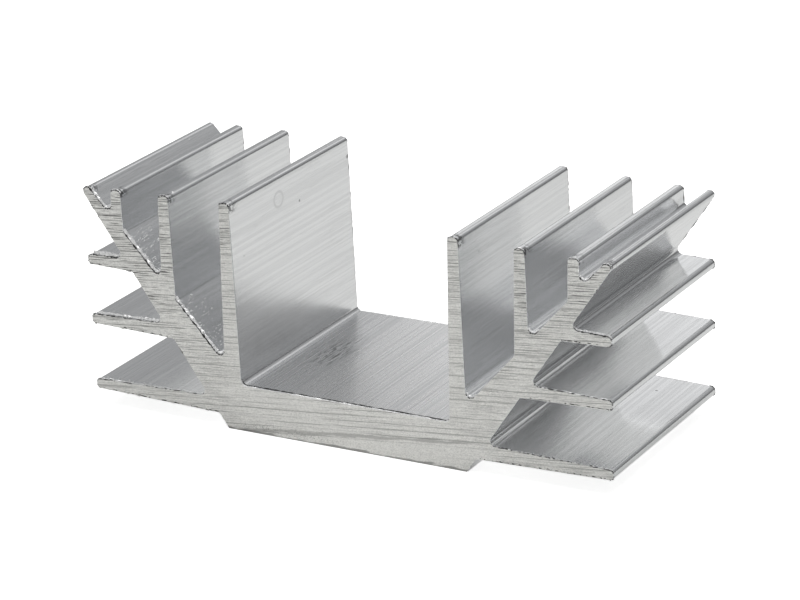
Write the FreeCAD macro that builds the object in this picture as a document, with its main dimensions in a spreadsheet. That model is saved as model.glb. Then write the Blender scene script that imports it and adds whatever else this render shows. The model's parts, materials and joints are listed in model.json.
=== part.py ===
import FreeCAD, Part
import Sketcher
import math
import os

# Channel heat sink: one aluminium extrusion, sawn to length. Millimetres.
# X runs across the width, Y along the extrusion and Z up; the origin is the middle of the
# underside of the pad. The section is the same from end to end: a flat floor between two wings
# that lean outwards, three upright fins on each wing, and three side fins out from under it.

Vector = FreeCAD.Vector

# alias, size, what it sets
drivingSizes = [
    ("length", 40.0, "cut length of the extrusion"),
    ("width", 100.0, "overall width, across the lips and the side fins"),
    ("height", 40.9, "underside of the pad to the crests of the inner fins"),
    ("crestFall", 0.026, "fall of the crests from the inner fins to the lips, for each unit outwards"),
    ("padWidth", 46.2, "flat underside, between the feet of the wings"),
    ("channelWidth", 40.2, "floor of the channel, between the inner fins"),
    ("floorHeight", 8.4, "underside of the pad to the floor of the channel"),
    ("wingRise", 10.2, "where the top of the wing meets the middle of the inner fin, up"),
    ("lipRadius", 0.8, "rounded lip in which the wing ends"),
    ("finTip", 1.95, "thickness of an upright fin at its crest"),
    ("finTaper", 0.02, "lean of each side of an upright fin, for each unit down"),
    ("outerFinInset", 6.6, "middle of the outer upright fin, in from the overall width"),
    ("midFinPlace", 0.557, "middle upright fin, as a share of the way from the inner to the outer"),
    ("sideTip", 1.75, "thickness of a side fin at its tip"),
    ("sideTaper", 0.0236, "lean of each side of a side fin, for each unit inwards"),
    ("lowSideHeight", 4.05, "middle of the lowest side fin above the underside of the pad"),
    ("highSideDrop", 13.85, "middle of the highest side fin below the crests of the inner fins"),
    ("midSidePlace", 0.526, "middle side fin, as a share of the way from the lowest to the highest"),
    ("tipRound", 0.8, "rounding along the tips of the fins"),
    ("slotRound", 0.9, "rounding in the sharp and square corners of the slots and the channel"),
    ("footRound", 0.8, "rounding in the blunt corners where a fin or the pad meets a wing"),
]

# alias, formula, what it gives
workedOut = [
    ("innerFinX", "=channelWidth / 2 + finTaper * (height - floorHeight) + finTip / 2",
     "middle of the inner upright fin, whose foot ends the floor"),
    ("outerFinX", "=width / 2 - outerFinInset", "middle of the outer upright fin"),
    ("midFinX", "=innerFinX + midFinPlace * (outerFinX - innerFinX)", "middle of the one between"),
    ("outerCrest", "=height - crestFall * (outerFinX - innerFinX)", "crest of the outer upright fin"),
    ("midCrest", "=height - crestFall * (midFinX - innerFinX)", "crest of the one between"),
    ("highSideHeight", "=height - highSideDrop", "middle of the highest side fin"),
    ("midSideHeight", "=lowSideHeight + midSidePlace * (highSideHeight - lowSideHeight)",
     "middle of the one between"),
    ("lipX", "=width / 2 - lipRadius", "centre of the lip, across"),
    ("lipHeight", "=height - crestFall * (lipX - innerFinX) - lipRadius", "centre of the lip, up"),
    ("coreX", "=(padWidth / 2 + innerFinX) / 2", "foot of the middle line of the wing, across"),
    ("coreHeight", "=wingRise / 2", "foot of the middle line of the wing, up"),
    ("coreSlope", "=(lipHeight - coreHeight) / (lipX - coreX)", "slope of that line"),
]

uprightFins = [("innerFinX", "height"), ("midFinX", "midCrest"), ("outerFinX", "outerCrest")]
sideFins = ["lowSideHeight", "midSideHeight", "highSideHeight"]

bluntCorner = 100.0        # a corner of the section that opens wider than this, in degrees, is blunt
closeTo = 1e-4


def makeSheet(doc):
    sheet = doc.addObject("Spreadsheet::Sheet", "sizes")
    rows = [(alias, str(size), note) for alias, size, note in drivingSizes] + workedOut
    for row, (alias, content, note) in enumerate(rows, 1):
        for column, text in zip("ABC", (alias, content, note)):
            sheet.set(f"{column}{row}", text)
        sheet.setAlias(f"B{row}", alias)
    doc.recompute()
    return sheet


def originPlane(body, role):
    return next(item for item in body.Origin.OriginFeatures if item.Role == role)


def addSketch(body, name):
    sketch = body.newObject("Sketcher::SketchObject", name)
    sketch.AttachmentSupport = (originPlane(body, "XZ_Plane"), [""])
    sketch.MapMode = "FlatFace"
    return sketch


def constrain(sketch, *what):
    return sketch.addConstraint(Sketcher.Constraint(*what))


def measure(sketch, formula, *what):
    """Adds a dimension that the sheet drives."""
    number = constrain(sketch, *what, 1.0)
    sketch.setExpression(f"Constraints[{number}]", formula)


def placeEnd(sketch, line, end, across, up):
    """Ties one end of a line to its place in the section, given as two formulas."""
    measure(sketch, across, "DistanceX", -1, 1, line, end)
    measure(sketch, up, "DistanceY", -1, 1, line, end)


def drawTrough(sketch, sheet):
    """Half of the pad and its floor with one wing, up to the rounded lip."""
    lip = Vector(sheet.lipX, sheet.lipHeight, 0)
    arc = Part.ArcOfCircle(Part.Circle(lip, Vector(0, 0, 1), sheet.lipRadius), -0.6, 2.4)
    foot = Vector(sheet.padWidth / 2, 0, 0)
    rise = Vector(sheet.innerFinX, sheet.wingRise, 0)
    floor = Vector(sheet.innerFinX, sheet.floorHeight, 0)
    middle = Vector(0, sheet.floorHeight, 0)
    underside, outerFace, rounded, topFace, step, channel, axis = (
        sketch.addGeometry(edge) for edge in (
            Part.LineSegment(Vector(0, 0, 0), foot),
            Part.LineSegment(foot, arc.StartPoint),
            arc,
            Part.LineSegment(arc.EndPoint, rise),
            Part.LineSegment(rise, floor),
            Part.LineSegment(floor, middle),
            Part.LineSegment(middle, Vector(0, 0, 0)),
        ))
    constrain(sketch, "Coincident", underside, 1, -1, 1)
    constrain(sketch, "Horizontal", underside)
    constrain(sketch, "Coincident", underside, 2, outerFace, 1)
    constrain(sketch, "Tangent", outerFace, 2, rounded, 1)
    constrain(sketch, "Tangent", rounded, 2, topFace, 1)
    constrain(sketch, "Coincident", topFace, 2, step, 1)
    constrain(sketch, "Vertical", step)
    constrain(sketch, "Coincident", step, 2, channel, 1)
    constrain(sketch, "Horizontal", channel)
    constrain(sketch, "Coincident", channel, 2, axis, 1)
    constrain(sketch, "Vertical", axis)
    constrain(sketch, "Coincident", axis, 2, underside, 1)
    measure(sketch, "sizes.padWidth / 2", "DistanceX", underside, 1, underside, 2)
    measure(sketch, "sizes.floorHeight", "DistanceY", axis, 2, axis, 1)
    placeEnd(sketch, rounded, 3, "sizes.lipX", "sizes.lipHeight")
    measure(sketch, "sizes.lipRadius", "Radius", rounded)
    placeEnd(sketch, topFace, 2, "sizes.innerFinX", "sizes.wingRise")


def drawFin(sketch, corners):
    """A four-sided fin, with each corner given as two formulas."""
    first = sketch.GeometryCount
    square = [Vector(1, 1, 0), Vector(2, 1, 0), Vector(2, 2, 0), Vector(1, 2, 0)]
    for number, start in enumerate(square):
        sketch.addGeometry(Part.LineSegment(start, square[(number + 1) % 4]))
    for number, (across, up) in enumerate(corners):
        constrain(sketch, "Coincident", first + number, 2, first + (number + 1) % 4, 1)
        placeEnd(sketch, first + number, 1, across, up)


def finCorners(middle, tip, root, thickness, taper):
    """Corners of a fin as pairs of formulas: along the fin, and across its middle line."""
    tipHalf = f"{thickness} / 2"
    rootHalf = f"({thickness} / 2 + {taper} * ({tip} - ({root})))"
    return [(tip, f"{middle} - {tipHalf}"), (tip, f"{middle} + {tipHalf}"),
            (root, f"{middle} + {rootHalf}"), (root, f"{middle} - {rootHalf}")]


def drawUprightFins(sketch):
    """Fins that stand on the wing, rooted at the middle line of its wall."""
    for place, crest in uprightFins:
        root = f"sizes.coreHeight + sizes.coreSlope * (sizes.{place} - sizes.coreX)"
        corners = finCorners(f"sizes.{place}", f"sizes.{crest}", root, "sizes.finTip", "sizes.finTaper")
        drawFin(sketch, [(across, along) for along, across in corners])


def drawSideFins(sketch):
    """Fins that lie out from under the wing to the overall width, rooted at the same line."""
    for place in sideFins:
        root = f"sizes.coreX + (sizes.{place} - sizes.coreHeight) / sizes.coreSlope"
        corners = finCorners(f"sizes.{place}", "sizes.width / 2", root, "sizes.sideTip", "sizes.sideTaper")
        drawFin(sketch, corners)


def extrude(body, sketch, name):
    """Runs a sketch the cut length, half to each side."""
    pad = body.newObject("PartDesign::Pad", name)
    pad.Profile = sketch
    pad.SideType = "Symmetric"
    pad.setExpression("Length", "sizes.length")
    return pad


def mirrorHalf(body, halves):
    mirrored = body.newObject("PartDesign::Mirrored", "bothHalves")
    mirrored.Originals = halves
    mirrored.MirrorPlane = (originPlane(body, "YZ_Plane"), [""])
    body.Tip = mirrored
    return mirrored


def lengthwise(edge):
    start, end = edge.firstVertex().Point, edge.lastVertex().Point
    return (end - start).cross(Vector(0, 1, 0)).Length < closeTo


def opening(shape, edge):
    """Angle in degrees that a hollow corner opens at, or 0 where the corner stands out."""
    faces = shape.ancestorsOfType(edge, Part.Face)
    if any(face.Surface.TypeId != "Part::GeomPlane" for face in faces):
        return 0.0
    ways = [(face.CenterOfMass - edge.CenterOfMass).normalize() for face in faces]
    standsOut = ways[1].dot(faces[0].normalAt(0, 0)) < closeTo
    return 0.0 if standsOut else math.degrees(ways[0].getAngle(ways[1]))


def atTip(sheet, edge):
    """Whether an edge runs along the tip of a fin: at its crest, or at the overall width."""
    place = edge.CenterOfMass
    crests = [sheet.get(crest) for _, crest in uprightFins]
    return (min(abs(place.z - crest) for crest in crests) < closeTo
            or abs(abs(place.x) - sheet.width / 2) < closeTo)


def roundEdges(body, name, chosen, radius):
    """Rounds the lengthwise edges of the last shape that the given test chooses."""
    last = body.Tip
    edges = [f"Edge{number}" for number, edge in enumerate(last.Shape.Edges, 1)
             if lengthwise(edge) and chosen(last.Shape, edge)]
    rounded = body.newObject("PartDesign::Fillet", name)
    rounded.Base = (last, edges)
    rounded.setExpression("Radius", radius)
    body.Document.recompute()
    print(f"{name}: {len(edges)} edges")


def makeHeatSink(doc, sheet):
    body = doc.addObject("PartDesign::Body", "heatSink")
    body.Label = "heat_sink"
    trough = addSketch(body, "troughSection")
    drawTrough(trough, sheet)
    upright = addSketch(body, "uprightFinSections")
    drawUprightFins(upright)
    side = addSketch(body, "sideFinSections")
    drawSideFins(side)
    halves = [extrude(body, trough, "trough"), extrude(body, upright, "uprightFins"),
              extrude(body, side, "sideFins")]
    mirrorHalf(body, halves)
    doc.recompute()
    roundEdges(body, "tipRounds", lambda shape, edge: atTip(sheet, edge),
               "min(sizes.tipRound; 0.45 * sizes.finTip; 0.45 * sizes.sideTip)")
    roundEdges(body, "slotRounds", lambda shape, edge: 0 < opening(shape, edge) <= bluntCorner,
               "sizes.slotRound")
    roundEdges(body, "footRounds", lambda shape, edge: opening(shape, edge) > bluntCorner,
               "sizes.footRound")
    return body


def check(doc, bodies):
    """Stops if a feature failed or a piece isn't one sound solid."""
    for item in doc.Objects:
        if {"Invalid", "Error"} & set(item.State):
            raise RuntimeError(f"{item.Name} failed")
    for body in bodies:
        shape = body.Shape
        if shape.isNull() or not shape.isValid() or len(shape.Solids) != 1:
            raise RuntimeError(f"{body.Label} isn't one sound solid")
        box = shape.BoundBox
        print(f"{body.Label}: {box.XLength:.2f} x {box.YLength:.2f} x {box.ZLength:.2f} mm, "
              f"{shape.Volume / 1000:.2f} cm3, {len(shape.Faces)} faces")


doc = FreeCAD.newDocument("heat_sink")
sheet = makeSheet(doc)
bodies = [makeHeatSink(doc, sheet)]
doc.recompute()
check(doc, bodies)
os.makedirs("parts", exist_ok=True)
for body in bodies:
    body.Shape.exportStep(f"parts/{body.Label}.step")
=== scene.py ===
import json
import math
import random
import bpy
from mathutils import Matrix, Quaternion, Vector

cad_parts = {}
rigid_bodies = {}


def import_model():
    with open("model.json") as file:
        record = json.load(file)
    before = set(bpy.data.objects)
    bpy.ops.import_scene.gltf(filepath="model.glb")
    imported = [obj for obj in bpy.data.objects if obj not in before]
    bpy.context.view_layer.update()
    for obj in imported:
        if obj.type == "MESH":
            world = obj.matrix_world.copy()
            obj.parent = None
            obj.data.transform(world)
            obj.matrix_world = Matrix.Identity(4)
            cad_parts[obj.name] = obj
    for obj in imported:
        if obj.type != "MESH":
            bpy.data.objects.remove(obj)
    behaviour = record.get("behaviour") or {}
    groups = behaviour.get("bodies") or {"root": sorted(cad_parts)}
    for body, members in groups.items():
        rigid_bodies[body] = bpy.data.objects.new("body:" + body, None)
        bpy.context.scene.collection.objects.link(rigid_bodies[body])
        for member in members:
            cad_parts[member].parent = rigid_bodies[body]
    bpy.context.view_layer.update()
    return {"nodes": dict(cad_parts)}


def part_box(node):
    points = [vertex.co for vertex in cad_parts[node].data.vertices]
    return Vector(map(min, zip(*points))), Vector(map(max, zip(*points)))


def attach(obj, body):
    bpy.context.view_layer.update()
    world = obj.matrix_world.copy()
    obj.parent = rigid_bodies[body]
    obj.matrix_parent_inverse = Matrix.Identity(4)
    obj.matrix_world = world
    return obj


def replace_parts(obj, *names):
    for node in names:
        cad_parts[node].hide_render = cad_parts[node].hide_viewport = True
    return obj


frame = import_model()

mm = 0.001  # lengths are in millimetres, times this here or where they are used

lowest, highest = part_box("heat_sink")
frontY, backY = lowest.y, highest.y

for leftover in [o for o in bpy.data.objects if o.name in ("Cube", "Light", "Camera")]:
    bpy.data.objects.remove(leftover)


# Nodes

def addNode(tree, kind, inputs=None, **settings):  # inputs: a value, or an output to link
    node = tree.nodes.new("ShaderNode" + kind)
    for name, value in settings.items():
        setattr(node, name, value)
    for name, value in (inputs or {}).items():
        if isinstance(value, bpy.types.NodeSocket):
            tree.links.new(value, node.inputs[name])
        else:
            node.inputs[name].default_value = value
    return node


def sumOf(tree, operation, first, second=0.0, clamp=False):
    return addNode(tree, "Math", {0: first, 1: second}, operation=operation, use_clamp=clamp).outputs[0]


def between(tree, value, low, high):  # 0 at low, 1 at high, level beyond them
    return addNode(tree, "MapRange", {"Value": value, "From Min": low, "From Max": high},
                   interpolation_type="SMOOTHSTEP").outputs["Result"]


def newGroup(name, inputs, outputs):
    tree = bpy.data.node_groups.new(name, "ShaderNodeTree")
    for label, kind, value in inputs:
        socket = tree.interface.new_socket(label, in_out="INPUT", socket_type=kind)
        if value is not None:
            socket.default_value = value
    for label, kind in outputs:
        tree.interface.new_socket(label, in_out="OUTPUT", socket_type=kind)
    return tree, tree.nodes.new("NodeGroupInput"), tree.nodes.new("NodeGroupOutput")


def placeGroup(tree, group, inputs):
    node = tree.nodes.new("ShaderNodeGroup")
    node.node_tree = group
    for name, value in inputs.items():
        if isinstance(value, bpy.types.NodeSocket):
            tree.links.new(value, node.inputs[name])
        else:
            node.inputs[name].default_value = value
    return node


def newMaterial(name, colour):
    material = bpy.data.materials.new(name)
    material.use_nodes = True
    material.diffuse_color = (*colour, 1)
    tree = material.node_tree
    shader = tree.nodes["Principled BSDF"]
    shader.inputs["Base Color"].default_value = (*colour, 1)
    return material, tree, shader


# Streaks: noise drawn out along one axis, fine or broad

def makeStreaks():
    tree, given, result = newGroup(
        "streaks",
        [("Vector", "NodeSocketVector", None), ("Size", "NodeSocketFloat", 1 * mm),
         ("Length", "NodeSocketFloat", 100.0), ("Detail", "NodeSocketFloat", 2.0)],
        [("Value", "NodeSocketFloat")])
    frequency = sumOf(tree, "DIVIDE", 1.0, given.outputs["Size"])
    drawn = sumOf(tree, "DIVIDE", 1.0, given.outputs["Length"])
    stretch = addNode(tree, "CombineXYZ", {"X": 1.0, "Y": drawn, "Z": 1.0})
    place = addNode(tree, "VectorMath", {0: given.outputs["Vector"], 1: stretch.outputs[0]},
                    operation="MULTIPLY")
    noise = addNode(tree, "TexNoise", {"Vector": place.outputs[0], "Scale": frequency,
                                       "Detail": given.outputs["Detail"], "Roughness": 0.6})
    tree.links.new(noise.outputs["Fac"], result.inputs["Value"])
    return tree


streaks = makeStreaks()


# Spot: 1 within a radius of a place, 0 a little outside it

def makeSpot():
    tree, given, result = newGroup(
        "spot",
        [("Vector", "NodeSocketVector", None), ("Centre", "NodeSocketVector", (0, 0, 0)),
         ("Reach", "NodeSocketVector", (1 * mm, 1 * mm, 1 * mm)), ("Soft", "NodeSocketFloat", 0.3)],
        [("Mask", "NodeSocketFloat"), ("Distance", "NodeSocketFloat")])
    offset = addNode(tree, "VectorMath", {0: given.outputs["Vector"], 1: given.outputs["Centre"]},
                     operation="SUBTRACT").outputs[0]
    scaled = addNode(tree, "VectorMath", {0: offset, 1: given.outputs["Reach"]},
                     operation="DIVIDE").outputs[0]
    distance = addNode(tree, "VectorMath", {0: scaled}, operation="LENGTH").outputs["Value"]
    inner = sumOf(tree, "SUBTRACT", 1.0, given.outputs["Soft"])
    outside = between(tree, distance, inner, 1.0)
    tree.links.new(sumOf(tree, "SUBTRACT", 1.0, outside), result.inputs["Mask"])
    tree.links.new(distance, result.inputs["Distance"])
    return tree


spot = makeSpot()


def mixed(tree, factor, first, second):
    node = addNode(tree, "Mix", {0: factor}, data_type="RGBA")
    for number, value in ((6, first), (7, second)):  # Mix has several inputs called A and B
        if isinstance(value, bpy.types.NodeSocket):
            tree.links.new(value, node.inputs[number])
        else:
            node.inputs[number].default_value = (*value, 1)
    return node.outputs[2]


def shade(colour, share):
    return tuple(channel * share for channel in colour)


def drawnLines(tree, vector, size, length, detail):
    return placeGroup(tree, streaks, {"Vector": vector, "Size": size, "Length": length,
                                      "Detail": detail}).outputs["Value"]


# The drawn skin of the extrusion

drawnSkin = {
    "colour": (0.892, 0.898, 0.903),
    "roughness": (0.21, 0.18),   # between the bands and on them
    "brushed": 0.8,
    "lines": {"fine": (0.10 * mm, 500.0, 2.0), "band": (0.55 * mm, 160.0, 4.0),  # size, length, detail
              "score": (1.6 * mm, 50.0, 4.0), "smear": (0.4 * mm, 8.0, 4.0)},
    "lineDepth": 0.0012 * mm,
    "band": {"edges": (0.38, 0.62), "tone": 0.90, "height": 2.5},  # its height against a fine line's
    "score": {"width": 0.012, "share": 0.7, "tone": 0.80},  # the few deeper die lines
    # mottled darker patches on the crests near the front cut
    "crestDark": {"run": 3.2 * mm, "above": 38.9 * mm, "fade": 0.5 * mm, "size": 0.8 * mm,
              "edges": (0.47, 0.56), "tone": 0.28},
    "smudge": {"centre": (-13.2 * mm, 0.0, 8.4 * mm), "reach": (6.5 * mm, 13 * mm, 0.15 * mm), "soft": 0.9,
               "edges": (0.50, 0.59), "tone": 0.36, "rougher": 0.1},
    "specks": (((-20.62, 2.66, 34.47), 0.28), ((41.8, 13.83, 5.12), 0.28), ((-20.6, 19.6, 37.4), 0.45),
               ((-20.5, -16.2, 30.5), 0.16), ((22.8, -13.0, 36.4), 0.18)),  # place and radius
    "speckTone": 0.4,
    "ring": {"centre": (-20.67 * mm, -4.1 * mm, 36.8 * mm), "reach": (1 * mm, 1.45 * mm, 1.35 * mm),
             "edges": (0.06, 0.28), "tone": 0.80},
    # the channel floor: rougher, and painted lighter in patches towards the right, a painted reflection
    "channelFloor": {"across": (20.3 * mm, 19.3 * mm), "below": (9.5 * mm, 8.7 * mm),
                     "from": (-20 * mm, -4 * mm), "edges": (0.30, 0.55), "rougher": 0.08,
                     "colour": (0.985, 0.985, 0.98)},
}


def makeDrawnSkin():
    s = drawnSkin
    material, tree, shader = newMaterial("drawnSkin", s["colour"])
    place = addNode(tree, "TexCoord").outputs["Object"]
    parts = addNode(tree, "SeparateXYZ", {0: place}).outputs
    marks = {kind: drawnLines(tree, place, *values) for kind, values in s["lines"].items()}
    scored = sumOf(tree, "ABSOLUTE", sumOf(tree, "SUBTRACT", marks["score"], 0.5))
    scored = sumOf(tree, "SUBTRACT", 1.0, between(tree, scored, 0.0, s["score"]["width"]))
    tone = mixed(tree, between(tree, marks["band"], *s["band"]["edges"]),
                 shade(s["colour"], s["band"]["tone"]), s["colour"])
    tone = mixed(tree, sumOf(tree, "MULTIPLY", scored, s["score"]["share"]), tone,
                 shade(s["colour"], s["score"]["tone"]))
    where = placeGroup(tree, spot, {"Vector": place, "Centre": s["smudge"]["centre"],
                                    "Reach": s["smudge"]["reach"], "Soft": s["smudge"]["soft"]})
    smudge = sumOf(tree, "MULTIPLY", where.outputs["Mask"],
                   between(tree, marks["smear"], *s["smudge"]["edges"]))
    tone = mixed(tree, smudge, tone, shade(s["colour"], s["smudge"]["tone"]))
    for centre, radius in s["specks"]:
        speck = placeGroup(tree, spot, {"Vector": place, "Centre": [c * mm for c in centre],
                                        "Reach": [radius * mm] * 3, "Soft": 0.3}).outputs["Mask"]
        tone = mixed(tree, speck, tone, shade(s["colour"], s["speckTone"]))
    ring = placeGroup(tree, spot, {"Vector": place, "Centre": s["ring"]["centre"],
                                   "Reach": s["ring"]["reach"]}).outputs["Distance"]
    ring = sumOf(tree, "ABSOLUTE", sumOf(tree, "SUBTRACT", ring, 1.0))
    ring = sumOf(tree, "SUBTRACT", 1.0, between(tree, ring, *s["ring"]["edges"]))
    tone = mixed(tree, ring, tone, shade(s["colour"], s["ring"]["tone"]))
    # the crests are darker in mottled patches near the front cut
    fade = s["crestDark"]["fade"]
    nearCut = between(tree, parts["Y"], frontY + s["crestDark"]["run"], frontY + fade)
    high = between(tree, parts["Z"], s["crestDark"]["above"], s["crestDark"]["above"] + fade)
    patches = addNode(tree, "TexNoise", {"Vector": place, "Scale": 1 / s["crestDark"]["size"],
                                         "Detail": 2.0}).outputs["Fac"]
    crestDarkMask = sumOf(tree, "MULTIPLY", sumOf(tree, "MULTIPLY", nearCut, high),
                    between(tree, patches, *s["crestDark"]["edges"]))
    tone = mixed(tree, crestDarkMask, tone, shade(s["colour"], s["crestDark"]["tone"]))
    floor = s["channelFloor"]
    channelArea = sumOf(tree, "MULTIPLY", between(tree, sumOf(tree, "ABSOLUTE", parts["X"]), *floor["across"]),
                 between(tree, parts["Z"], *floor["below"]))
    # painted reflection: the channel floor is painted lighter in patches, more towards the right
    paintedSheen = sumOf(tree, "MULTIPLY", channelArea, between(tree, marks["band"], *floor["edges"]))
    paintedSheen = sumOf(tree, "MULTIPLY", paintedSheen, sumOf(tree, "SUBTRACT", 1.0, smudge))
    paintedSheen = sumOf(tree, "MULTIPLY", paintedSheen, between(tree, parts["X"], *floor["from"]))
    tone = mixed(tree, paintedSheen, tone, floor["colour"])
    tree.links.new(tone, shader.inputs["Base Color"])
    shine = addNode(tree, "MapRange", {"Value": marks["band"], "From Min": 0.3, "From Max": 0.7,
                                       "To Min": s["roughness"][0], "To Max": s["roughness"][1]})
    rough = sumOf(tree, "ADD", shine.outputs[0], sumOf(tree, "MULTIPLY", channelArea, floor["rougher"]))
    rough = sumOf(tree, "ADD", rough, sumOf(tree, "MULTIPLY", smudge, s["smudge"]["rougher"]))
    tree.links.new(rough, shader.inputs["Roughness"])
    height = sumOf(tree, "ADD", marks["fine"], sumOf(tree, "MULTIPLY", marks["band"], s["band"]["height"]))
    height = sumOf(tree, "SUBTRACT", height, scored)
    bump = addNode(tree, "Bump", {"Height": height, "Distance": s["lineDepth"], "Strength": 1.0})
    tree.links.new(bump.outputs[0], shader.inputs["Normal"])
    across = addNode(tree, "Tangent", direction_type="RADIAL", axis="Y")
    tree.links.new(across.outputs[0], shader.inputs["Tangent"])
    shader.inputs["Metallic"].default_value = 1
    shader.inputs["Anisotropic"].default_value = s["brushed"]
    return material


# The sawn ends

sawnEnd = {
    "colour": (0.945, 0.94, 0.912),
    # near-black: painted shade in the saw grooves, score lines and pits; the same colour also darkens the
    # bottom edge
    "groove": (0.12, 0.12, 0.117),
    "grainTone": 0.80,
    "roughness": 0.40,
    "tilt": math.radians(5.5),
    "pitch": 0.42 * mm,          # one tooth's advance
    "turn": 1.05 * mm,           # one turn of the blade
    "waver": 9.0,
    "turnWaver": 0.3,
    "lines": {"waver": (1.3 * mm, 9.0, 3.0), "stroke": (0.45 * mm, 9.0, 2.0),  # size, length, detail
              "tooth": (0.26 * mm, 26.0, 1.0), "turn": (0.9 * mm, 25.0, 2.0),
              "score": (0.17 * mm, 30.0, 2.0), "grain": (0.11 * mm, 3.0, 2.0),
              "ragged": (0.8 * mm, 6.0, 3.0)},
    "edges": {"wave": (0.50, 0.97), "stroke": (0.42, 0.60), "tooth": (0.36, 0.28), "turnWave": (0.82, 0.98),
              "turn": (0.40, 0.56), "score": (0.52, 0.38), "grain": (0.3, 0.7), "pit": (0.50, 0.66)},
    "from": {"thin": (17 * mm, 28 * mm), "left": (20 * mm, -25 * mm), "up": (5 * mm, 25 * mm),
             "tip": (27 * mm, 38 * mm), "middle": (30 * mm, 20 * mm)},  # where each starts and is full
    "depth": {"thin": (0.22, 0.74), "left": (0.8, 0.4), "up": (0.35, 0.5), "tip": (1.0, 0.7)},  # least, more
    "turnDepth": 0.5,
    "scoreDepth": 0.17,
    "grooveDepth": 0.04 * mm,
    "grainHeight": 0.12,
    "band": {"from": (-20, 0.4), "to": (27, 5.6), "half": 0.42 * mm, "inner": 0.1 * mm, "ragged": 1.2 * mm,
             "tone": 0.58, "below": 1.0 * mm, "smoother": 0.8},  # dull, where two cuts meet
    "pit": {"size": 0.17 * mm, "share": 0.18, "footShare": 0.42},
    "pitted": {"centre": (-12 * mm, -20 * mm, 1.2 * mm), "reach": (14 * mm, 1 * mm, 0.9 * mm), "soft": 0.8},
    # the cut is darker along its bottom edge
    "foot": {"height": (0.55 * mm, 0.25 * mm), "footDark": 0.65},
}


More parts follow.
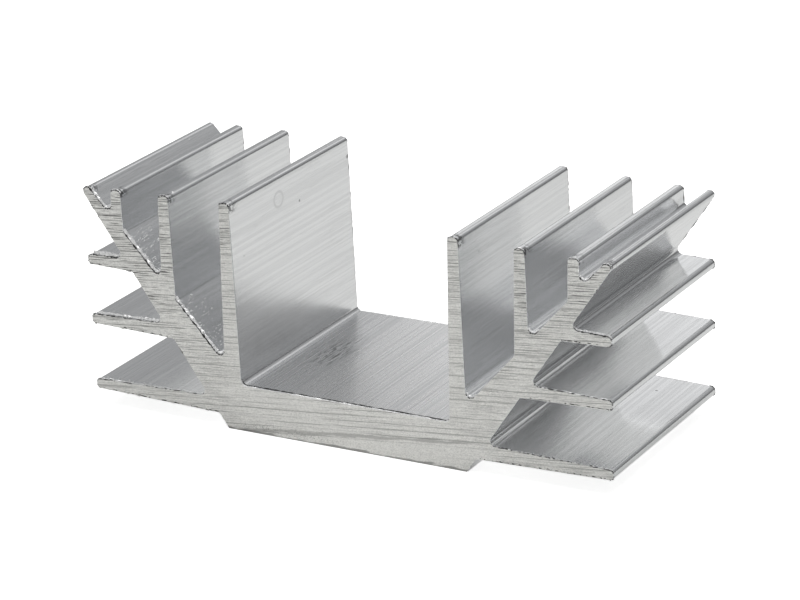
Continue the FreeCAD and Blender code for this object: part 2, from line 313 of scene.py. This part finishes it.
def makeSawnEnd():
    s = sawnEnd
    edges, band = s["edges"], s["band"]
    material, tree, shader = newMaterial("sawnEnd", s["colour"])
    place = addNode(tree, "TexCoord").outputs["Object"]
    plain = addNode(tree, "SeparateXYZ", {0: place}).outputs
    turned = addNode(tree, "Mapping", {"Vector": place, "Rotation": (0, s["tilt"], 0)}).outputs[0]
    parts = addNode(tree, "SeparateXYZ", {0: turned}).outputs
    swapped = addNode(tree, "CombineXYZ", {"X": parts["Z"], "Y": parts["X"], "Z": parts["Y"]}).outputs[0]
    marks = {kind: drawnLines(tree, swapped, *values) for kind, values in s["lines"].items()}
    waver = sumOf(tree, "MULTIPLY", marks["waver"], s["waver"])
    phase = sumOf(tree, "MULTIPLY", parts["Z"], 2 * math.pi / s["pitch"])
    stroke = between(tree, sumOf(tree, "SINE", sumOf(tree, "ADD", phase, waver)), *edges["wave"])
    stroke = sumOf(tree, "MULTIPLY", stroke, between(tree, marks["stroke"], *edges["stroke"]))
    tooth = sumOf(tree, "MAXIMUM", stroke, between(tree, marks["tooth"], *edges["tooth"]))
    turn = sumOf(tree, "MULTIPLY", parts["Z"], 2 * math.pi / s["turn"])
    turn = sumOf(tree, "SINE", sumOf(tree, "ADD", turn, sumOf(tree, "MULTIPLY", waver, s["turnWaver"])))
    turn = sumOf(tree, "MULTIPLY", between(tree, turn, *edges["turnWave"]),
                 between(tree, marks["turn"], *edges["turn"]))
    score = between(tree, marks["score"], *edges["score"])
    (x0, z0), (x1, z1) = band["from"], band["to"]
    slope = (z1 - z0) / (x1 - x0)
    line = sumOf(tree, "MULTIPLY_ADD", plain["X"], slope)
    line.node.inputs[2].default_value = (z0 - slope * x0) * mm
    above = sumOf(tree, "SUBTRACT", plain["Z"], line)
    ragged = sumOf(tree, "MULTIPLY", sumOf(tree, "SUBTRACT", marks["ragged"], 0.5), band["ragged"])
    away = sumOf(tree, "ABSOLUTE", sumOf(tree, "ADD", above, ragged))
    sideways = sumOf(tree, "ABSOLUTE", plain["X"])
    middle = between(tree, sideways, *s["from"]["middle"])
    dull = sumOf(tree, "MULTIPLY", between(tree, away, band["half"], band["inner"]), middle)
    smooth = sumOf(tree, "MULTIPLY", between(tree, above, 0.0, -band["below"]), middle)
    rough = sumOf(tree, "SUBTRACT", 1.0, sumOf(tree, "MULTIPLY", smooth, band["smoother"]))
    depth = 1.0
    for kind, value in (("thin", sideways), ("left", plain["X"]), ("up", plain["Z"]), ("tip", plain["Z"])):
        least, more = s["depth"][kind]
        more = sumOf(tree, "MULTIPLY", between(tree, value, *s["from"][kind]), more)
        depth = sumOf(tree, "MULTIPLY", depth, sumOf(tree, "ADD", least, more))
    toothMask = sumOf(tree, "MAXIMUM", sumOf(tree, "MULTIPLY", tooth, depth),
                      sumOf(tree, "MULTIPLY", turn, s["turnDepth"]))
    toothMask = sumOf(tree, "MULTIPLY", toothMask, rough, clamp=True)
    scoreMask = sumOf(tree, "MULTIPLY", sumOf(tree, "MULTIPLY", score, rough), s["scoreDepth"])
    pits = placeGroup(tree, spot, {"Vector": place, "Centre": s["pitted"]["centre"],
                                   "Reach": s["pitted"]["reach"], "Soft": s["pitted"]["soft"]})
    pits = sumOf(tree, "MULTIPLY", pits.outputs["Mask"], s["pit"]["footShare"])
    pits = sumOf(tree, "ADD", pits, s["pit"]["share"])  # a few all over, more near the foot
    holes = addNode(tree, "TexNoise", {"Vector": place, "Scale": 1 / s["pit"]["size"],
                                       "Detail": 3.0}).outputs["Fac"]
    pits = sumOf(tree, "MULTIPLY", pits, between(tree, holes, *edges["pit"]))
    # darker towards the bottom edge of the cut
    foot = between(tree, sumOf(tree, "ADD", plain["Z"], ragged), *s["foot"]["height"])
    pitsAndFoot = sumOf(tree, "MAXIMUM", pits, sumOf(tree, "MULTIPLY", foot, s["foot"]["footDark"]))
    tone = mixed(tree, between(tree, marks["grain"], *edges["grain"]), shade(s["colour"], s["grainTone"]),
                 s["colour"])
    # painted shade: the saw grooves, score lines and pits take the near-black
    tone = mixed(tree, scoreMask, tone, s["groove"])
    tone = mixed(tree, dull, tone, shade(s["colour"], band["tone"]))
    tone = mixed(tree, toothMask, tone, s["groove"])
    tone = mixed(tree, pitsAndFoot, tone, s["groove"])
    tree.links.new(tone, shader.inputs["Base Color"])
    height = sumOf(tree, "SUBTRACT", sumOf(tree, "MULTIPLY", marks["grain"], s["grainHeight"]),
                   sumOf(tree, "ADD", toothMask, sumOf(tree, "ADD", scoreMask, pits)))
    bump = addNode(tree, "Bump", {"Height": height, "Distance": s["grooveDepth"], "Strength": 0.8})
    tree.links.new(bump.outputs[0], shader.inputs["Normal"])
    shader.inputs["Metallic"].default_value = 1
    shader.inputs["Roughness"].default_value = s["roughness"]
    return material


# Bare torn metal of the burrs and chips: a bright metal, pushed whiter and less metallic as a painted
# highlight, so that they look white

tornMetal = {"colour": (0.98, 0.98, 0.975), "roughness": 0.23, "metallic": 0.35, "pit": 0.25 * mm,
             "edges": (0.28, 0.38), "pitTone": 0.25}


def makeTornMetal():
    s = tornMetal
    material, tree, shader = newMaterial("tornMetal", s["colour"])
    place = addNode(tree, "TexCoord").outputs["Object"]
    lumps = addNode(tree, "TexNoise", {"Vector": place, "Scale": 1 / s["pit"], "Detail": 3.0}).outputs["Fac"]
    tone = mixed(tree, between(tree, lumps, *s["edges"]), shade(s["colour"], s["pitTone"]), s["colour"])
    tree.links.new(tone, shader.inputs["Base Color"])
    shader.inputs["Metallic"].default_value = s["metallic"]
    shader.inputs["Roughness"].default_value = s["roughness"]
    return material


# Painted shade: a near-black tube laid along a rolled edge and along other cut edges, where the shade falls

gapShade = {"colour": (0.06, 0.06, 0.06), "roughness": 0.5}


def makeGapShade():
    material, tree, shader = newMaterial("gapShade", gapShade["colour"])
    shader.inputs["Metallic"].default_value = 1
    shader.inputs["Roughness"].default_value = gapShade["roughness"]
    return material


skin = makeDrawnSkin()
cut = makeSawnEnd()
torn = makeTornMetal()
gap = makeGapShade()
print("materials: drawn skin, sawn end, torn metal, gap")


# Small helpers

def only(piece):
    bpy.ops.object.select_all(action="DESELECT")
    piece.select_set(True)
    bpy.context.view_layer.objects.active = piece


def editing(piece, elements):  # opens the piece with nothing selected
    only(piece)
    bpy.ops.object.mode_set(mode="EDIT")
    bpy.ops.mesh.select_mode(type=elements)
    bpy.ops.mesh.select_all(action="DESELECT")


def choose(piece, kind, test):  # selects the faces, edges or vertices that pass the test
    bpy.ops.object.mode_set(mode="OBJECT")
    mesh = piece.data
    chosen = [part for part in getattr(mesh, kind) if test(mesh, part)]
    for part in chosen:
        part.select = True
    bpy.ops.object.mode_set(mode="EDIT")
    return len(chosen)


def applyAll(piece):
    only(piece)
    for modifier in list(piece.modifiers):
        bpy.ops.object.modifier_apply(modifier=modifier.name)


def joined(pieces, name, material):
    bpy.ops.object.select_all(action="DESELECT")
    for piece in pieces:
        piece.select_set(True)
    bpy.context.view_layer.objects.active = pieces[0]
    bpy.ops.object.join()
    bpy.ops.object.transform_apply(location=True, rotation=True, scale=True)
    whole = bpy.context.active_object
    whole.name = whole.data.name = name
    whole.data.materials.clear()
    whole.data.materials.append(material)
    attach(whole, "root")
    return whole


def keepInside(piece):  # nothing reaches past the section's outer size
    for vertex in piece.data.vertices:
        for axis in range(3):
            vertex.co[axis] = max(lowest[axis], min(highest[axis], vertex.co[axis]))


# The extrusion

finSection = {
    "mergeGap": 0.001 * mm,
    "flatWithin": math.radians(0.4),
    "endBand": 0.35 * mm,        # the length next to each cut that the saw disturbed
    "edgeStep": 0.45 * mm,       # spacing of the points along a cut edge
    "longest": 64,               # of the edges split first, in steps
    "slack": 1.4,
    "edgeRagged": 0.05 * mm,
    "brokenEdge": 0.05 * mm,
    "smoothWithin": math.radians(40),
    "seed": 4,
}
setBack = 0.02 * mm  # the cut faces lie this far inside the box, so that the burrs can stand proud of them
frontCut, backCut = frontY + setBack, backY - setBack


def atEnd(vertex):
    return min(abs(vertex.co.y - frontY), abs(vertex.co.y - backY)) < setBack * 1.2


def endEdge(mesh, edge):
    return all(atEnd(mesh.vertices[v]) for v in edge.vertices)


def makeFinSection():
    s = finSection
    only(frame["nodes"]["heat_sink"])
    bpy.ops.object.duplicate()
    piece = bpy.context.active_object
    piece.name = piece.data.name = "fin_section"
    bpy.ops.object.parent_clear(type="CLEAR_KEEP_TRANSFORM")
    for key in list(piece.keys()):
        del piece[key]
    bpy.ops.mesh.customdata_custom_splitnormals_clear()
    editing(piece, "VERT")
    bpy.ops.mesh.select_all(action="SELECT")
    bpy.ops.mesh.remove_doubles(threshold=s["mergeGap"])
    bpy.ops.mesh.dissolve_limited(angle_limit=s["flatWithin"])
    for end, inwards in ((frontY, 1), (backY, -1)):
        bpy.ops.mesh.select_all(action="SELECT")
        bpy.ops.mesh.bisect(plane_co=(0, end + inwards * s["endBand"], 0), plane_no=(0, 1, 0))
    bpy.ops.mesh.select_mode(type="EDGE")
    longest = s["longest"]
    while longest > 1:  # the longest edges are halved until every one is about a step long
        bpy.ops.mesh.select_all(action="DESELECT")
        limit = longest * s["edgeStep"] / 2 * s["slack"]
        if choose(piece, "edges", lambda mesh, edge: endEdge(mesh, edge) and limit < (
                mesh.vertices[edge.vertices[0]].co - mesh.vertices[edge.vertices[1]].co).length):
            bpy.ops.mesh.subdivide(number_cuts=1)
        longest /= 2
    bpy.ops.mesh.select_mode(type="VERT")
    bpy.ops.mesh.select_all(action="DESELECT")
    choose(piece, "vertices", lambda mesh, vertex: atEnd(vertex))
    bpy.ops.transform.vertex_random(offset=s["edgeRagged"], seed=s["seed"])
    bpy.ops.object.mode_set(mode="OBJECT")
    for vertex in piece.data.vertices:  # the cut stays flat
        if vertex.select:
            vertex.co.y = frontCut if vertex.co.y < 0 else backCut
    keepInside(piece)
    editing(piece, "EDGE")
    choose(piece, "edges", endEdge)
    bpy.ops.mesh.bevel(offset=s["brokenEdge"], segments=2, affect="EDGES")
    bpy.ops.object.mode_set(mode="OBJECT")
    keepInside(piece)
    bpy.ops.object.shade_smooth_by_angle(angle=s["smoothWithin"])
    weighted = piece.modifiers.new("flatFaces", "WEIGHTED_NORMAL")
    weighted.keep_sharp = True
    applyAll(piece)
    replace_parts(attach(piece, "root"), "heat_sink")
    print("fin section:", len(piece.data.polygons), "faces")
    return piece


section = makeFinSection()
section.data.materials.clear()
for material in (skin, cut):
    section.data.materials.append(material)
for face in section.data.polygons:
    face.material_index = 1 if abs(face.normal.y) > 0.95 else 0


# Burrs: beads of metal that the saw rolled up along the cut, and near-black tubes beside them as painted
# shade.
# Each run follows the section's own edge between two corners (x, z), low and high. Bead and gap are radii.

burrRuns = {
    "left_outer_slot": {"low": (-42.5, 25.0), "high": (-34.9, 33.4), "bead": 0.33, "gap": 0.15},
    "left_inner_slot": {"low": (-32.7, 11.8), "high": (-23.1, 22.5), "bead": 0.32, "gap": 0.14},
    "left_lip": {"low": (-49.0, 34.8), "high": (-44.2, 39.7), "bead": 0.25, "gap": 0.14},
    "left_high_fin": {"low": (-49.1, 27.7), "high": (-42.1, 28.5), "bead": 0.38, "gap": 0.12},
    "left_middle_fin": {"low": (-49.2, 16.7), "high": (-34.8, 17.7), "bead": 0.32, "gap": 0.09},
    "left_low_fin": {"low": (-49.5, 4.6), "high": (-26.7, 5.8), "bead": 0.12, "gap": 0.08},
    "channel": {"low": (-20.3, 8.2), "high": (19.9, 9.4), "bead": 0.16, "gap": 0.15,
                "beadMove": (0, 0.12, -0.03), "gapMove": (0, 0.42, 0.03)},
    "right_lip": {"low": (44.2, 34.6), "high": (47.6, 38.2), "bead": 0.24, "gap": 0.11},
    "right_outer_slot": {"low": (34.7, 24.6), "high": (37.0, 27.2), "bead": 0.24, "gap": 0.11},
    "right_inner_slot": {"low": (22.9, 11.4), "high": (25.2, 13.9), "bead": 0.24, "gap": 0.11},
    "right_high_fin": {"low": (42.0, 27.7), "high": (49.5, 28.6), "bead": 0.22, "gap": 0.14},
    "right_middle_fin": {"low": (34.8, 16.7), "high": (49.5, 17.8), "bead": 0.09, "gap": 0.12},
    "right_low_fin": {"low": (26.7, 4.6), "high": (49.5, 5.8), "bead": 0.07, "gap": 0.10},
    "left_high_under": {"low": (-49.7, 25.4), "high": (-41.0, 26.7), "gap": 0.13},
    "left_middle_under": {"low": (-49.7, 14.4), "high": (-33.5, 15.8), "gap": 0.13},
    "left_low_under": {"low": (-49.7, 2.3), "high": (-25.0, 3.7), "gap": 0.13},
    "right_high_under": {"low": (41.0, 25.4), "high": (49.7, 26.7), "gap": 0.13},
    "right_middle_under": {"low": (33.5, 14.4), "high": (49.7, 15.8), "gap": 0.13},
    "right_low_under": {"low": (25.0, 2.3), "high": (49.7, 3.7), "gap": 0.13},
    "tip_left_lip": {"low": (-50.1, 39.3), "high": (-48.3, 40.5), "bead": 0.15, "gap": 0.19},
    "tip_left_outer": {"low": (-44.3, 39.6), "high": (-42.5, 40.6), "bead": 0.15, "gap": 0.19},
    "tip_left_middle": {"low": (-34.7, 39.8), "high": (-32.9, 40.8), "bead": 0.15, "gap": 0.19},
    "tip_left_inner": {"low": (-22.6, 40.1), "high": (-20.8, 41.0), "bead": 0.15, "gap": 0.19},
    "tip_right_inner": {"low": (20.8, 40.1), "high": (22.6, 41.0), "bead": 0.12, "gap": 0.14},
    "tip_right_middle": {"low": (32.9, 39.8), "high": (34.7, 40.8), "bead": 0.12, "gap": 0.12},
    "tip_right_outer": {"low": (42.5, 39.6), "high": (44.3, 40.6), "bead": 0.13, "gap": 0.12},
    "tip_right_lip": {"low": (48.3, 39.3), "high": (50.1, 40.5), "bead": 0.14, "gap": 0.12},
    "back_left_inner": {"low": (-20.95, 9.0), "high": (-20.2, 41.0), "gap": 0.075, "end": "back"},
    "back_left_middle": {"low": (-33.1, 30.0), "high": (-32.4, 41.0), "gap": 0.075, "end": "back"},
    "back_left_outer": {"low": (-42.9, 30.0), "high": (-42.2, 41.0), "gap": 0.075, "end": "back"},
    "back_right_inner": {"low": (22.3, 25.0), "high": (23.3, 41.0), "gap": 0.085, "end": "back"},
    "back_right_middle": {"low": (34.3, 30.0), "high": (35.2, 41.0), "gap": 0.085, "end": "back"},
    "back_right_lip": {"low": (43.5, 29.0), "high": (50.1, 41.0), "gap": 0.10, "end": "back"},
    "back_right_fins": {"low": (48.7, 2.0), "high": (50.1, 29.0), "gap": 0.14, "end": "back"},
    "side_left_high": {"low": (-50.1, 26.0), "high": (-49.1, 28.05), "bead": 0.13, "gap": 0.15},
    "side_left_middle": {"low": (-50.1, 15.1), "high": (-49.1, 17.15), "bead": 0.13, "gap": 0.15},
    "side_left_low": {"low": (-50.1, 3.0), "high": (-49.1, 5.05), "bead": 0.11, "gap": 0.13},
    "side_right_high": {"low": (49.1, 26.0), "high": (50.1, 28.05), "bead": 0.16, "gap": 0.15},
    "side_right_middle": {"low": (49.1, 15.1), "high": (50.1, 17.15), "bead": 0.14, "gap": 0.15},
    "side_right_low": {"low": (49.1, 3.0), "high": (50.1, 5.05), "bead": 0.12, "gap": 0.15},
}
burrShape = {"wander": 0.03 * mm, "thinnest": 0.45, "thickest": 1.3, "twist": 0.6, "seam": 0.001 * mm,
             "steep": 0.15, "near": 0.002 * mm, "gapInwards": 0.8, "underLift": 0.16, "beadInwards": 0.08,
             "beadLift": 0.75, "seed": 11}


def makeRun(section, low, high, radius, move, dice, end):
    only(section)
    bpy.ops.object.duplicate()
    run = bpy.context.active_object
    bpy.ops.object.parent_clear(type="CLEAR_KEEP_TRANSFORM")
    for key in list(run.keys()):
        del run[key]

    def within(mesh, edge):
        ends = [mesh.vertices[v].co for v in edge.vertices]
        steep = abs(ends[0].x - ends[1].x) < burrShape["steep"] * abs(ends[0].z - ends[1].z)
        if steep and end == frontCut:  # the sides of the fins stay bare
            return False
        return all(abs(p.y - end) < burrShape["near"] and low[0] <= p.x / mm <= high[0]
                   and low[1] <= p.z / mm <= high[1] for p in ends)

    editing(run, "EDGE")
    choose(run, "edges", within)
    bpy.ops.mesh.select_all(action="INVERT")
    bpy.ops.mesh.delete(type="EDGE")
    bpy.ops.mesh.select_all(action="SELECT")
    bpy.ops.transform.translate(value=[step * mm for step in move])
    bpy.ops.transform.vertex_random(offset=burrShape["wander"], seed=dice.randrange(1, 999))
    bpy.ops.object.mode_set(mode="OBJECT")
    run.data.materials.clear()
    bpy.ops.object.convert(target="CURVE")
    curve = bpy.context.active_object.data
    for spline in curve.splines:
        for point in spline.points:
            point.radius = dice.uniform(burrShape["thinnest"], burrShape["thickest"])
            point.tilt = dice.uniform(-1, 1) * burrShape["twist"]
    curve.bevel_depth = radius * mm
    curve.bevel_resolution = 1
    curve.use_fill_caps = True
    bpy.ops.object.convert(target="MESH")
    run = bpy.context.active_object
    editing(run, "VERT")
    bpy.ops.mesh.select_all(action="SELECT")
    bpy.ops.mesh.remove_doubles(threshold=burrShape["seam"])
    bpy.ops.object.mode_set(mode="OBJECT")
    for face in run.data.polygons:
        face.use_smooth = False
    return run


def makeBurrs(section):
    shape, dice = burrShape, random.Random(burrShape["seed"])
    burrs, gaps = [], []
    for name, s in burrRuns.items():
        end = backCut if s.get("end") == "back" else frontCut
        inwards = shape["gapInwards"] * (-1 if end == backCut else 1)
        up = shape["underLift"] if "under" in name else 0.0
        move = s.get("gapMove", (0, s["gap"] * inwards, up))
        gaps.append(makeRun(section, s["low"], s["high"], s["gap"], move, dice, end))
        if "bead" in s:
            lift = s.get("beadMove", (0, s["bead"] + shape["beadInwards"], s["bead"] * shape["beadLift"]))
            burrs.append(makeRun(section, s["low"], s["high"], s["bead"], lift, dice, end))
    print("burr runs:", len(burrs), "with", len(gaps), "gaps")
    keepInside(joined(burrs, "saw_burrs", torn))
    # the gaps are painted shade: near-black tubes where the shade of the cut edges falls
    keepInside(joined(gaps, "saw_gaps", gap))


makeBurrs(section)


# Crumbs: small torn lumps at the cut ends of the crests, and fine chips in the left slots and on the
# left side fins. Tips and the two ends of each floor are (x, z).

crumbs = {
    "crests": {"tips": ((-49.2, 39.39), (-43.4, 39.54), (-33.79, 39.79), (-21.72, 40.1), (21.72, 40.1),
                        (33.79, 39.79), (43.4, 39.54), (49.2, 39.39)),
               "count": (12, 14, 14, 16, 9, 7, 8, 8), "size": (0.10, 0.24), "behind": 0.18, "run": 2.6,
               "crowd": 2, "round": 0.72, "lean": (28, 85)},
    "chips": {"floors": (((-36.0, 26.2), (-41.6, 32.4)), ((-24.0, 12.8), (-32.0, 21.7)),
                         ((-49.2, 27.95), (-43.0, 28.09)), ((-49.2, 17.05), (-38.0, 17.31)),
                         ((-49.3, 4.95), (-30.0, 5.4))),
              "count": (130, 130, 70, 40, 30), "run": (6.5, 6.5, 2.0, 1.8, 1.6), "size": (0.05, 0.105),
              "behind": 0.4, "above": 0.03, "crowd": 1.8},
    "lipChip": {"place": (-48.35, 11.3, 39.62), "size": 0.17},
    "stretch": (0.6, 1.3),
    "jagged": 0.02 * mm,
    "seed": 23,
}


def makeCrumbs():
    s, dice = crumbs, random.Random(crumbs["seed"])
    crests, chips = s["crests"], s["chips"]
    spots = []
    for (x, z), count in zip(crests["tips"], crests["count"]):
        for _ in range(count):
            angle = math.radians(dice.choice((-1, 1)) * dice.uniform(*crests["lean"]))
            back = crests["run"] * dice.random() ** crests["crowd"]
            place = (x + crests["round"] * math.sin(angle), frontY / mm + crests["behind"] + back,
                     z + crests["round"] * math.cos(angle))
            spots.append((place, dice.uniform(*crests["size"])))
    for ((x0, z0), (x1, z1)), count, run in zip(chips["floors"], chips["count"], chips["run"]):
        for _ in range(count):
            share = dice.random()
            back = run * dice.random() ** chips["crowd"]
            place = (x0 + (x1 - x0) * share, frontY / mm + chips["behind"] + back,
                     z0 + (z1 - z0) * share + chips["above"])
            spots.append((place, dice.uniform(*chips["size"])))
    spots.append((s["lipChip"]["place"], s["lipChip"]["size"]))
    bpy.ops.mesh.primitive_ico_sphere_add(subdivisions=1, radius=1 * mm)
    lump = bpy.context.active_object
    made = []
    for place, size in spots:
        only(lump)
        bpy.ops.object.duplicate()
        crumb = bpy.context.active_object
        crumb.location = Vector(place) * mm
        crumb.scale = [size * dice.uniform(*s["stretch"]) for _ in range(3)]
        made.append(crumb)
    bpy.data.objects.remove(lump)
    piece = joined(made, "crumbs", torn)
    editing(piece, "VERT")
    bpy.ops.mesh.select_all(action="SELECT")
    bpy.ops.transform.vertex_random(offset=s["jagged"], seed=s["seed"])
    bpy.ops.object.mode_set(mode="OBJECT")
    for face in piece.data.polygons:
        face.use_smooth = False
    keepInside(piece)
    print("crumbs:", len(spots))


makeCrumbs()


# Camera

shot = {
    "place": Vector((271.675, -473.737, 221.940)) * mm,
    "aim": Vector((0.163, 0, 20.090)) * mm,
    "roll": math.radians(-2.206),
    "lens": 153.218,
}


def makeCamera():
    bpy.ops.object.camera_add(location=shot["place"])
    camera = bpy.context.active_object
    camera.name = "camera"
    look = (shot["aim"] - shot["place"]).to_track_quat("-Z", "Y")
    camera.rotation_mode = "QUATERNION"
    camera.rotation_quaternion = look @ Quaternion((0, 0, 1), shot["roll"])
    camera.data.lens = shot["lens"]
    camera.data.sensor_width = 36
    camera.data.clip_start = 10 * mm
    bpy.context.scene.camera = camera


makeCamera()

# Floor, light and room

studio = {
    "floorSize": 12.0,
    "floorColour": (0.80, 0.80, 0.786),
    "floorRoughness": 0.9,
    "whiteLift": 0.75,          # what the camera sees on top of the light that falls on the floor
    "paleLift": 0.05,           # the same for reflections
    # underLift is painted light: a glow in reflections of the floor beneath the object that fills its shadow
    "underLift": 0.28,          # and for reflections of the floor beneath the object
    "underReach": (56 * mm, 24 * mm),
    "roomLevel": 0.37,
    "darkSide": {"from": -0.1, "to": 0.45, "top": 0.44, "bottom": 0.14, "level": 0.13},
    "roomTint": (0.975, 0.985, 1.0),
}


def makeFloor():
    bpy.ops.mesh.primitive_plane_add(size=studio["floorSize"], location=(0, 0, lowest.z))
    floor = bpy.context.active_object
    floor.name = "floor"
    material, tree, shader = newMaterial("paleFloor", studio["floorColour"])
    shader.inputs["Roughness"].default_value = studio["floorRoughness"]
    path = addNode(tree, "LightPath").outputs
    mirrored = sumOf(tree, "MAXIMUM", path["Is Glossy Ray"], path["Is Transmission Ray"])
    place = addNode(tree, "TexCoord").outputs["Object"]
    under = placeGroup(tree, spot, {"Vector": place, "Reach": (*studio["underReach"], 1),
                                    "Soft": 0.3}).outputs["Mask"]
    # painted light: reflections of the floor beneath the object glow brighter, filling its shadow
    pale = sumOf(tree, "ADD", sumOf(tree, "MULTIPLY", under, studio["underLift"]), studio["paleLift"])
    lift = sumOf(tree, "ADD", sumOf(tree, "MULTIPLY", path["Is Camera Ray"], studio["whiteLift"]),
                 sumOf(tree, "MULTIPLY", mirrored, pale))
    shader.inputs["Emission Color"].default_value = (1, 1, 1, 1)
    tree.links.new(lift, shader.inputs["Emission Strength"])
    floor.data.materials.append(material)


def makeRoom():
    world = bpy.data.worlds.new("room")
    bpy.context.scene.world = world
    world.use_nodes = True
    tree = world.node_tree
    direction = addNode(tree, "TexCoord").outputs["Generated"]
    parts = addNode(tree, "SeparateXYZ", {0: direction}).outputs
    dark = studio["darkSide"]
    side = between(tree, parts["X"], dark["from"], dark["to"])
    low = between(tree, parts["Z"], dark["top"], dark["bottom"])
    shadow = sumOf(tree, "MULTIPLY", side, low)
    level = sumOf(tree, "SUBTRACT", studio["roomLevel"],
                  sumOf(tree, "MULTIPLY", shadow, studio["roomLevel"] - dark["level"]))
    background = tree.nodes["Background"]
    background.inputs["Color"].default_value = (*studio["roomTint"], 1)
    tree.links.new(level, background.inputs["Strength"])


softBoxes = {
    "top": {"place": (0, 0, 900), "aim": (0, 0, 0), "size": (900, 900), "glow": 2.07},
    "backLeft": {"place": (-282, 826, 310), "aim": (0, 0, 20), "size": (360, 180), "glow": 0.59},
    "backHigh": {"place": (10, 640, 500), "aim": (0, 0, 20), "size": (300, 150), "glow": 0.42},
    "frontLeft": {"place": (-500, -700, 350), "aim": (0, 0, 20), "size": (500, 400), "glow": 0.3},
}


def makeSoftBox(name, s):
    place = Vector(s["place"]) * mm
    bpy.ops.object.light_add(type="AREA", location=place)
    lamp = bpy.context.active_object
    lamp.name = lamp.data.name = name
    lamp.rotation_mode = "QUATERNION"
    lamp.rotation_quaternion = (Vector(s["aim"]) * mm - place).to_track_quat("-Z", "Y")
    lamp.data.shape = "RECTANGLE"
    lamp.data.size, lamp.data.size_y = (side * mm for side in s["size"])
    lamp.data.energy = s["glow"] * math.pi * lamp.data.size * lamp.data.size_y  # glow 1 looks white
    lamp.visible_camera = False


makeFloor()
makeRoom()
for name, box in softBoxes.items():
    makeSoftBox(name, box)
print("studio: floor, room and", len(softBoxes), "soft boxes")

bpy.context.scene.view_settings.view_transform = "Standard"
